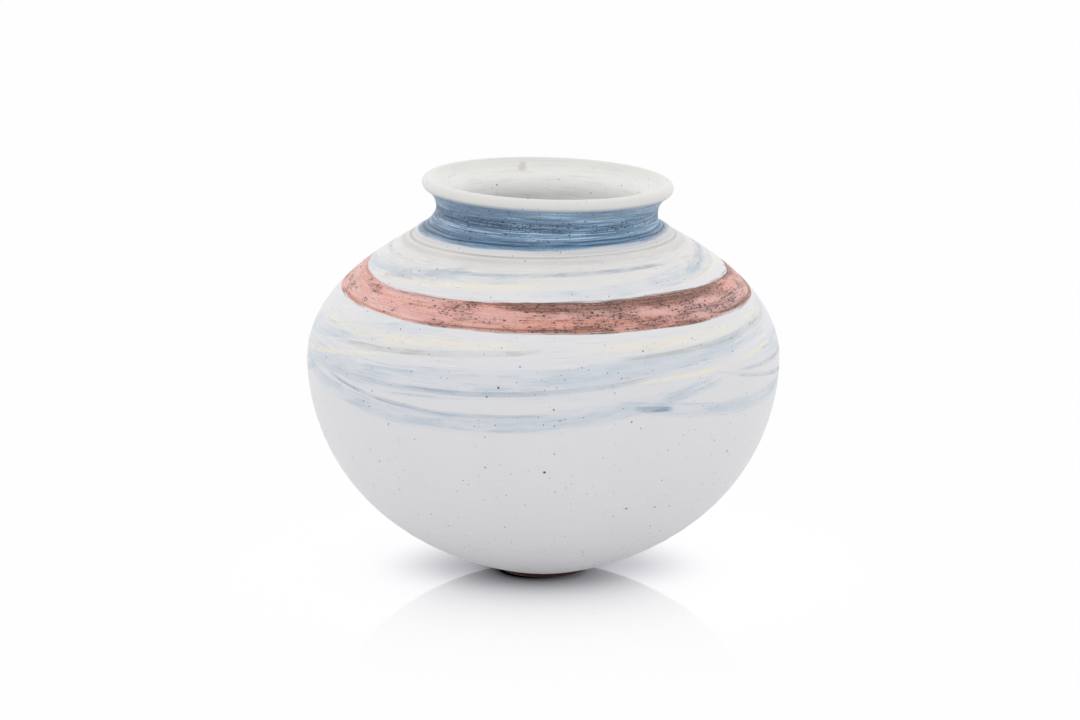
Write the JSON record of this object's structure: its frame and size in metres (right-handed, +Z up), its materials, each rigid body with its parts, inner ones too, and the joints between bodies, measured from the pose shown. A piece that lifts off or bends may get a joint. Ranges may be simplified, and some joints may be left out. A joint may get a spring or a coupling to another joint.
{
  "type": "pottery vase",
  "caption": "Round stoneware vase with a very small foot, a short waisted neck, a flared rounded lip, brushed bands on its shoulder and a felt pad under its foot.",
  "frame": {"origin": "on the vase's axis, on the underside of the felt pad, at the level of the surface that the vase stands on", "axes": "+Z up through the mouth; +X to the right of the painted front, the side that the neck leans to; -Y towards the viewer of that front"},
  "size_m": [0.19, 0.19, 0.1618],
  "materials": {
    "white_glaze": "satin-matt white glaze over buff stoneware, with fine iron specks and brushed bands of slip",
    "blue_glaze": "brushed blue oxide under a satin glaze, streaked by the brush",
    "ivory_glaze": "satin ivory glaze, a little glossier inside the mouth",
    "felt": "dark red-brown pressed wool felt",
    "glue": "thin pale amber film of set glue, hidden between the foot and the felt"
  },
  "bodies": {
    "root": {"felt_pad": "felt", "pad_adhesive": "glue", "lower_bowl": "white_glaze", "upper_bowl": "white_glaze", "neck_collar": "blue_glaze", "rolled_lip": "ivory_glaze"}
  },
  "joints": []
}
